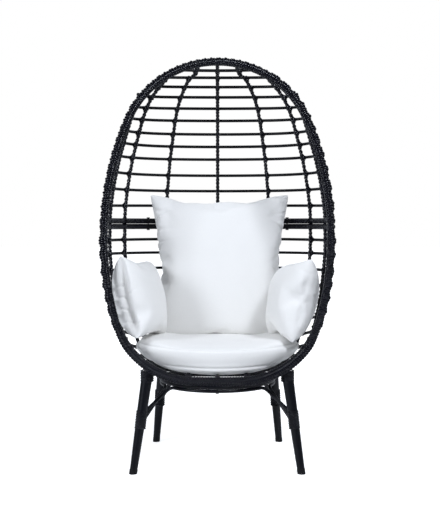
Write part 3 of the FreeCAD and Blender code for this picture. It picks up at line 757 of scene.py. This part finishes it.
def write(mesh, points):
    """Moves a mesh's points."""
    mesh.vertices.foreach_set("co", points.astype(np.float32).ravel())
    mesh.update()


def refined(thing):
    """Cuts every cell of a mesh in four, smoothly."""
    finer = thing.modifiers.new("finer", "SUBSURF")
    finer.levels = 1
    finer.render_levels = 1
    bpy.context.view_layer.update()
    mesh = baked(thing)
    thing.modifiers.clear()
    thing.data = mesh


def finished(thing, node):
    """Sets a soft piece in the place of its plain solid."""
    thing.data.shade_smooth()
    dress(thing, "cushion_fabric")
    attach(thing, node)
    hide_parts(node)
    print(node, len(thing.data.vertices), "points")


# %% Two sheets sewn together
def sewn_sheets(width, height, cells):
    """Two sheets joined round their border, a little apart, that remember where each point began."""
    mesh = bmesh.new()
    front = bmesh.ops.create_grid(mesh, x_segments=cells, y_segments=cells, size=0.5)["verts"]
    bmesh.ops.scale(mesh, vec=(width, height, 1.0), verts=front)
    doubled = bmesh.ops.duplicate(mesh, geom=mesh.verts[:] + mesh.edges[:] + mesh.faces[:])["geom"]
    back = [part for part in doubled if isinstance(part, bmesh.types.BMVert)]
    back_faces = [part for part in doubled if isinstance(part, bmesh.types.BMFace)]
    bmesh.ops.reverse_faces(mesh, faces=back_faces)
    for sheet, lift in ((front, 0.004), (back, -0.004)):
        for vert in sheet:
            edge_gap = min(width / 2 - abs(vert.co.x), height / 2 - abs(vert.co.y))
            if edge_gap > 0.0001:
                vert.co.z = lift * min(1.0, edge_gap / 0.02) + random.uniform(-0.0004, 0.0004)
    bmesh.ops.remove_doubles(mesh, verts=mesh.verts[:], dist=0.0001)
    made = bpy.data.meshes.new("sheets")
    mesh.to_mesh(made)
    mesh.free()
    began = made.attributes.new("began", "FLOAT_VECTOR", "POINT")
    began.data.foreach_set("vector", read(made).astype(np.float32).ravel())
    return made


# %% [markdown]
# The solver alone makes a balloon. A real pillow is stuffed harder at the sides than that, so they are
# let out again. The seam is drawn in to a crease and pinch folds are pressed in along it. For that each
# point remembers where it began on its flat sheet, because how far it is from the seam is easy to tell
# there. A crease is given by its side (-1 or 1), depth and reach. A fold is given by its side, height,
# length, width, depth, slant and sheet (1 in front, -1 behind and 0 for both).


# %% Letting out, creases and folds
def let_out(points, outs, bow):
    """Lets the sides out (left, right, bottom, top), bows the whole and blunts its corners."""
    share = points / np.abs(points).max(axis=0)
    middle_y = 1 - share[:, 1] ** 2
    middle_x = 1 - share[:, 0] ** 2
    left, right, bottom, top = outs
    moved = points.copy()
    moved[:, 0] += (right * eased(share[:, 0]) - left * eased(-share[:, 0])) * middle_y
    moved[:, 1] += (top * eased(share[:, 1]) - bottom * eased(-share[:, 1])) * middle_x
    moved[:, 2] += bow * middle_y
    moved[:, :2] *= 1 - 0.018 * np.abs(share[:, 0] * share[:, 1])[:, None] ** 7
    return moved


def pressed(mesh, creases, folds):
    """Draws the seam of a side in to a crease and presses folds in along it."""
    points = read(mesh)
    began = read(mesh, "began")
    half = np.abs(began).max(axis=0)
    for way, depth, reach in creases:
        inwards = half[0] - began[:, 0] * way
        middle = np.clip(1 - (began[:, 1] / half[1]) ** 4, 0.0, 1.0)
        points[:, 0] -= way * depth * np.exp(-((inwards / reach) ** 2)) * middle
    write(mesh, points)
    facing = normals(mesh)
    for way, height, length, width, depth, slant, sheet in folds:
        inwards = half[0] - began[:, 0] * way
        off = began[:, 1] - height * half[1] - slant * inwards
        press = np.exp(-((off / width) ** 2)) * np.exp(-((inwards / length) ** 2))
        press *= eased(inwards / 0.008)
        press[began[:, 2] * sheet < 0] = 0.0
        points -= facing * (depth * press)[:, None]
    write(mesh, points)


def side_folds(way, low, high, count, length, depth):
    """Folds at chance heights along a stretch of one side, in both sheets."""
    made = []
    for number in range(count):
        height = low + (high - low) * (number + random.uniform(0.2, 0.8)) / count
        made.append((way, height, length * random.uniform(0.6, 1.3), random.uniform(0.006, 0.011),
                     depth * random.uniform(0.4, 1.2), random.uniform(-0.6, 0.6), 0))
    return made


# %% [markdown]
# A pillow is made flat at the origin, with x across it, y up and z through it. Its sheets are cut a
# little larger, because blowing up draws them in. It is brought to its measured size, smoothed, cut finer
# for its folds and only then laid in its place in the chair.

# %% A pillow in the place of a cushion
SHEET_SHARE = 1.06
SHEET_CELLS = 50


def pillow(node, size, outs, place, settings, creases, folds, smoothing=2, bow=0.0):
    """A pillow in the place of a cushion's plain solid."""
    width, height, depth = size
    sheets = sewn_sheets(width * SHEET_SHARE, height * SHEET_SHARE, SHEET_CELLS)
    thing = in_scene(node + "_soft", sheets)
    thing.data = inflated(thing, **settings)
    points = read(thing.data)
    low, high = points.min(axis=0), points.max(axis=0)
    print(node, "scaled by", [round(float(v), 3) for v in size / (high - low)])
    points = (points - (low + high) / 2) * (size / (high - low))
    write(thing.data, let_out(points, outs, bow))
    smoother = thing.modifiers.new("smooth", "SMOOTH")
    smoother.factor = 0.5
    smoother.iterations = smoothing
    refined(thing)
    refined(thing)
    pressed(thing.data, creases, folds)
    thing.data.transform(place)
    finished(thing, node)


def placed(across, up, middle):
    """A matrix that lays a pillow down by two of its own directions and its middle."""
    across = Vector(across)
    up = Vector(up)
    turned = Matrix((across, up, across.cross(up))).transposed()
    return Matrix.Translation(Vector(middle)) @ turned.to_4x4()


# %% [markdown]
# The back cushion leans back by 8 degrees. Its lower side is let out most, because the filling has sunk
# there, and its left and right sides are full of small folds.

# %% Back cushion
LEAN_BACK = math.radians(8.0)
back_up = (0, math.sin(LEAN_BACK), math.cos(LEAN_BACK))
back_folds = (side_folds(-1, low=-0.2, high=0.8, count=7, length=0.060, depth=0.0085)
              + side_folds(1, low=-0.2, high=0.8, count=7, length=0.070, depth=0.0095))
pillow(
    "back_cushion",
    size=(0.586, 0.578, 0.165),
    outs=(0.004, 0.012, 0.066, 0.016),
    place=placed((1, 0, 0), back_up, (0.006, MOUTH_Y + 0.325, 0.726)),
    settings={"frames": 20, "pressure": 2.0, "stiffness": 15.0, "bending": 0.1},
    creases=((-1, 0.004, 0.012), (1, 0.004, 0.012)),
    folds=back_folds,
)

# %% [markdown]
# The arm cushions stand on the two sides. They face inwards and a little forwards, and their tops lean
# outwards. The near seam of the left one is a deep crease, with four pinches in its outer sheet and two
# small ones in its inner sheet. The right one has a shallow crease and small chance folds.

# %% Arm cushions
ARM_PITCH = math.radians(4.0)
left_folds = [
    (-1, height, 0.055, 0.0060, depth, slant, -1)
    for height, depth, slant in ((0.32, 0.0035, -0.1), (0.04, 0.0055, 0.15), (-0.24, 0.0045, 0.3),
                                 (-0.55, 0.003, 0.2))
]
left_folds += [(-1, height, 0.030, 0.0050, 0.0025, 0.2, 1) for height in (0.12, -0.62)]
right_folds = side_folds(-1, low=-0.7, high=0.7, count=6, length=0.030, depth=0.0012)


def arm_cushion(side, name, middle, depth, turn, tip, bow, creases, folds):
    """A cushion at one side of the seat. Its turn and its tip are in degrees."""
    turn_angle = math.radians(turn)
    tip_angle = math.radians(tip)
    inward = Vector((-side * math.cos(turn_angle), -math.sin(turn_angle), 0.0))
    level = Vector((-side * math.sin(turn_angle), math.cos(turn_angle), 0.0))
    upright = Vector((0, 0, 1)) * math.cos(tip_angle) - inward * math.sin(tip_angle)
    across = level * math.cos(ARM_PITCH) - upright * math.sin(ARM_PITCH)
    up = upright * math.cos(ARM_PITCH) + level * math.sin(ARM_PITCH)
    pillow(
        name,
        size=(0.315, 0.325, depth),
        outs=(0.010, 0.006, 0.004, 0.004),
        place=placed(across, up, middle),
        settings={"frames": 30, "pressure": 6.0, "stiffness": 40.0, "bending": 0.1},
        creases=creases,
        folds=folds,
        smoothing=12,
        bow=bow,
    )


arm_cushion(-1, "left_arm_cushion", (-0.284, MOUTH_Y + 0.1, 0.609), depth=0.168, turn=15.0, tip=14.5,
            bow=-0.013, creases=((-1, 0.026, 0.015),), folds=left_folds)
arm_cushion(1, "right_arm_cushion", (0.274, MOUTH_Y + 0.1, 0.598), depth=0.172, turn=11.0, tip=14.5,
            bow=0.007, creases=((-1, 0.003, 0.010),), folds=right_folds)

# %% [markdown]
# The seat cushion is boxed: a top panel, a bottom panel and a band between them, with a seam above and
# below. It starts from the plain solid, cut into small even cells. The seams are held, and pressure
# blows the panels between them out a little.

# %% Seat cushion, blown up between its seams
SEAMS = (0.430, 0.366)
SEAT_HALF_WIDTH = 0.30
seat = in_scene("seat_cushion_soft", shape_of["seat_cushion"].data.copy())
cells = seat.modifiers.new("cells", "REMESH")
cells.mode = "VOXEL"
cells.voxel_size = 0.006
bpy.context.view_layer.update()
plain = baked(seat)
seat.modifiers.clear()
seat.data = plain


def seam_gaps(points):
    """How far points are above or below each seam. Both seams rise towards the ends."""
    rise = 0.0165 * np.clip(np.abs(points[:, 0]) / SEAT_HALF_WIDTH, 0.0, 1.0) ** 2
    return [points[:, 2] - height - rise for height in SEAMS]


gaps = seam_gaps(read(seat.data))
held = seat.vertex_groups.new(name="held")
hold = np.exp(-((np.minimum(np.abs(gaps[0]), np.abs(gaps[1])) / 0.007) ** 2))
for number, weight in enumerate(hold):
    held.add([number], float(weight), "REPLACE")
seat.data = inflated(seat, frames=16, pressure=3.0, stiffness=12.0, bending=0.5, pins="held")
print("seat cells", len(seat.data.vertices), "held", int((hold > 0.5).sum()))

# %% [markdown]
# A used cushion isn't even: its front sags in the middle, its top rises towards the ends, where the
# filling is pushed, and its band bulges there. Last, the seams are pulled in, as stitches pull cloth
# into the filling.

# %% Seat cushion, sagged and stitched
points = read(seat.data)
front_share = eased((MOUTH_Y + 0.16 - points[:, 1]) / 0.16)
sag_share = front_share * np.clip(1 - (points[:, 0] / SEAT_HALF_WIDTH) ** 2, 0.0, 1.0)
points[:, 2] -= 0.013 * sag_share * eased((0.400 - points[:, 2]) / 0.04)
points[:, 1] -= 0.006 * sag_share * eased((0.385 - points[:, 2]) / 0.03)
ends = eased((np.abs(points[:, 0]) - 0.12) / 0.14)
points[:, 2] += (0.022 * ends - 0.006) * eased((points[:, 2] - 0.430) / 0.02)
band_share = eased((points[:, 2] - 0.362) / 0.02) * eased((0.440 - points[:, 2]) / 0.02)
points[:, 0] *= 1 + 0.018 * ends * band_share
write(seat.data, points)
refined(seat)
points = read(seat.data)
pull = np.zeros(len(points))
for gap, depth in zip(seam_gaps(points), (0.0045, 0.0035)):
    pull += depth * np.exp(-((gap / 0.0045) ** 2))
write(seat.data, points - normals(seat.data) * pull[:, None])
refined(seat)
finished(seat, "seat_cushion")

# %% [markdown]
# The floor is plain and pale, as in a catalogue. It glows for the camera alone, and more with the
# distance, so that it looks as white as the photograph's. That glow also hides the soft shadow that falls
# on it.

# %% Floor
GREY = (0.80, 0.80, 0.80, 1.0)
floor_mesh = bmesh.new()
bmesh.ops.create_grid(floor_mesh, x_segments=1, y_segments=1, size=30.0)
floor_data = bpy.data.meshes.new("floor")
floor_mesh.to_mesh(floor_data)
floor_mesh.free()
floor = in_scene("floor", floor_data)
pale = bpy.data.materials.new("pale_floor")
pale.use_nodes = True
tree = pale.node_tree
tree.nodes.clear()
link = tree.links.new
matt = add_node(tree, "ShaderNodeBsdfDiffuse", {"Color": GREY})
glow = add_node(tree, "ShaderNodeEmission")
ray = add_node(tree, "ShaderNodeLightPath")
where = add_node(tree, "ShaderNodeTexCoord")
distance = add_node(tree, "ShaderNodeVectorMath", operation="LENGTH")
link(where.outputs["Object"], distance.inputs[0])
glow_limits = {"From Min": 0.6, "From Max": 2.5, "To Min": 0.66, "To Max": 1.0}
fade = add_node(tree, "ShaderNodeMapRange", glow_limits)
link(distance.outputs["Value"], fade.inputs["Value"])
lift = add_node(tree, "ShaderNodeMath", operation="MULTIPLY")
link(ray.outputs["Is Camera Ray"], lift.inputs[0])
link(fade.outputs["Result"], lift.inputs[1])
link(lift.outputs["Value"], glow.inputs["Strength"])
both = add_node(tree, "ShaderNodeAddShader")
link(matt.outputs["BSDF"], both.inputs[0])
link(glow.outputs["Emission"], both.inputs[1])
surface = add_node(tree, "ShaderNodeOutputMaterial")
link(both.outputs["Shader"], surface.inputs["Surface"])
floor_data.materials.append(pale)
print("floor nodes", len(tree.nodes))

# %% [markdown]
# The surroundings are white to the camera and a soft daylight to the chair. Shiny strands would show a
# white room as grey all over, so rays that they mirror meet dark surroundings in front and lighter ones
# behind.

# %% Surroundings
DAYLIGHT = (0.86, 0.91, 1.0)
WHITE = (1.0, 1.0, 1.0)
ROOM_STRENGTH = 0.44
world = bpy.data.worlds.new("surroundings")
bpy.context.scene.world = world
world.use_nodes = True
tree = world.node_tree
link = tree.links.new
background = tree.nodes["Background"]
ray = add_node(tree, "ShaderNodeLightPath")
tint = add_node(tree, "ShaderNodeMix")
tint.data_type = "RGBA"
tint.inputs["A"].default_value = (*DAYLIGHT, 1.0)
tint.inputs["B"].default_value = (*WHITE, 1.0)
link(ray.outputs["Is Camera Ray"], tint.inputs["Factor"])
link(tint.outputs["Result"], background.inputs["Color"])
way = add_node(tree, "ShaderNodeTexCoord")
split = add_node(tree, "ShaderNodeSeparateXYZ")
link(way.outputs["Generated"], split.inputs["Vector"])
mirrored_limits = {"From Min": -0.1, "From Max": 0.6, "To Min": 0.04, "To Max": 0.35}
behind = add_node(tree, "ShaderNodeMapRange", mirrored_limits)
link(split.outputs["Y"], behind.inputs["Value"])
mirrored = add_node(tree, "ShaderNodeMath", operation="MAXIMUM")
link(ray.outputs["Is Glossy Ray"], mirrored.inputs[0])
link(ray.outputs["Is Transmission Ray"], mirrored.inputs[1])
shown = add_node(tree, "ShaderNodeMix", {"A": ROOM_STRENGTH})
link(mirrored.outputs["Value"], shown.inputs["Factor"])
link(behind.outputs["Result"], shown.inputs["B"])
strength = add_node(tree, "ShaderNodeMath", operation="MAXIMUM")
link(ray.outputs["Is Camera Ray"], strength.inputs[0])
link(shown.outputs["Result"], strength.inputs[1])
link(strength.outputs["Value"], background.inputs["Strength"])
print("surroundings nodes", len(tree.nodes))

# %% [markdown]
# Three soft lights: a small strong key from the upper right, which gives the wicker its glints, a
# weaker fill from the left, and a wide faint one from behind, for the edges. A small lamp makes sharper
# glints.

# %% Lights
AIM = Vector((0, 0, 0.8))


def soft_light(name, place, size, power):
    """A rectangular lamp that points at the seat."""
    data = bpy.data.lights.new(name, "AREA")
    data.shape = "RECTANGLE"
    data.size = size[0]
    data.size_y = size[1]
    data.energy = power
    data.color = DAYLIGHT
    light = in_scene(name, data)
    light.location = place
    light.rotation_euler = (AIM - Vector(place)).to_track_quat("-Z", "Y").to_euler()
    print(name, power, "W")


soft_light("key", (1.7, -2.1, 3.9), size=(0.7, 0.7), power=98)
soft_light("fill", (-2.8, -2.6, 2.0), size=(1.0, 1.0), power=66)
soft_light("back", (0.0, 2.8, 3.0), size=(3.0, 1.5), power=22)
bpy.context.scene.view_settings.view_transform = "Standard"
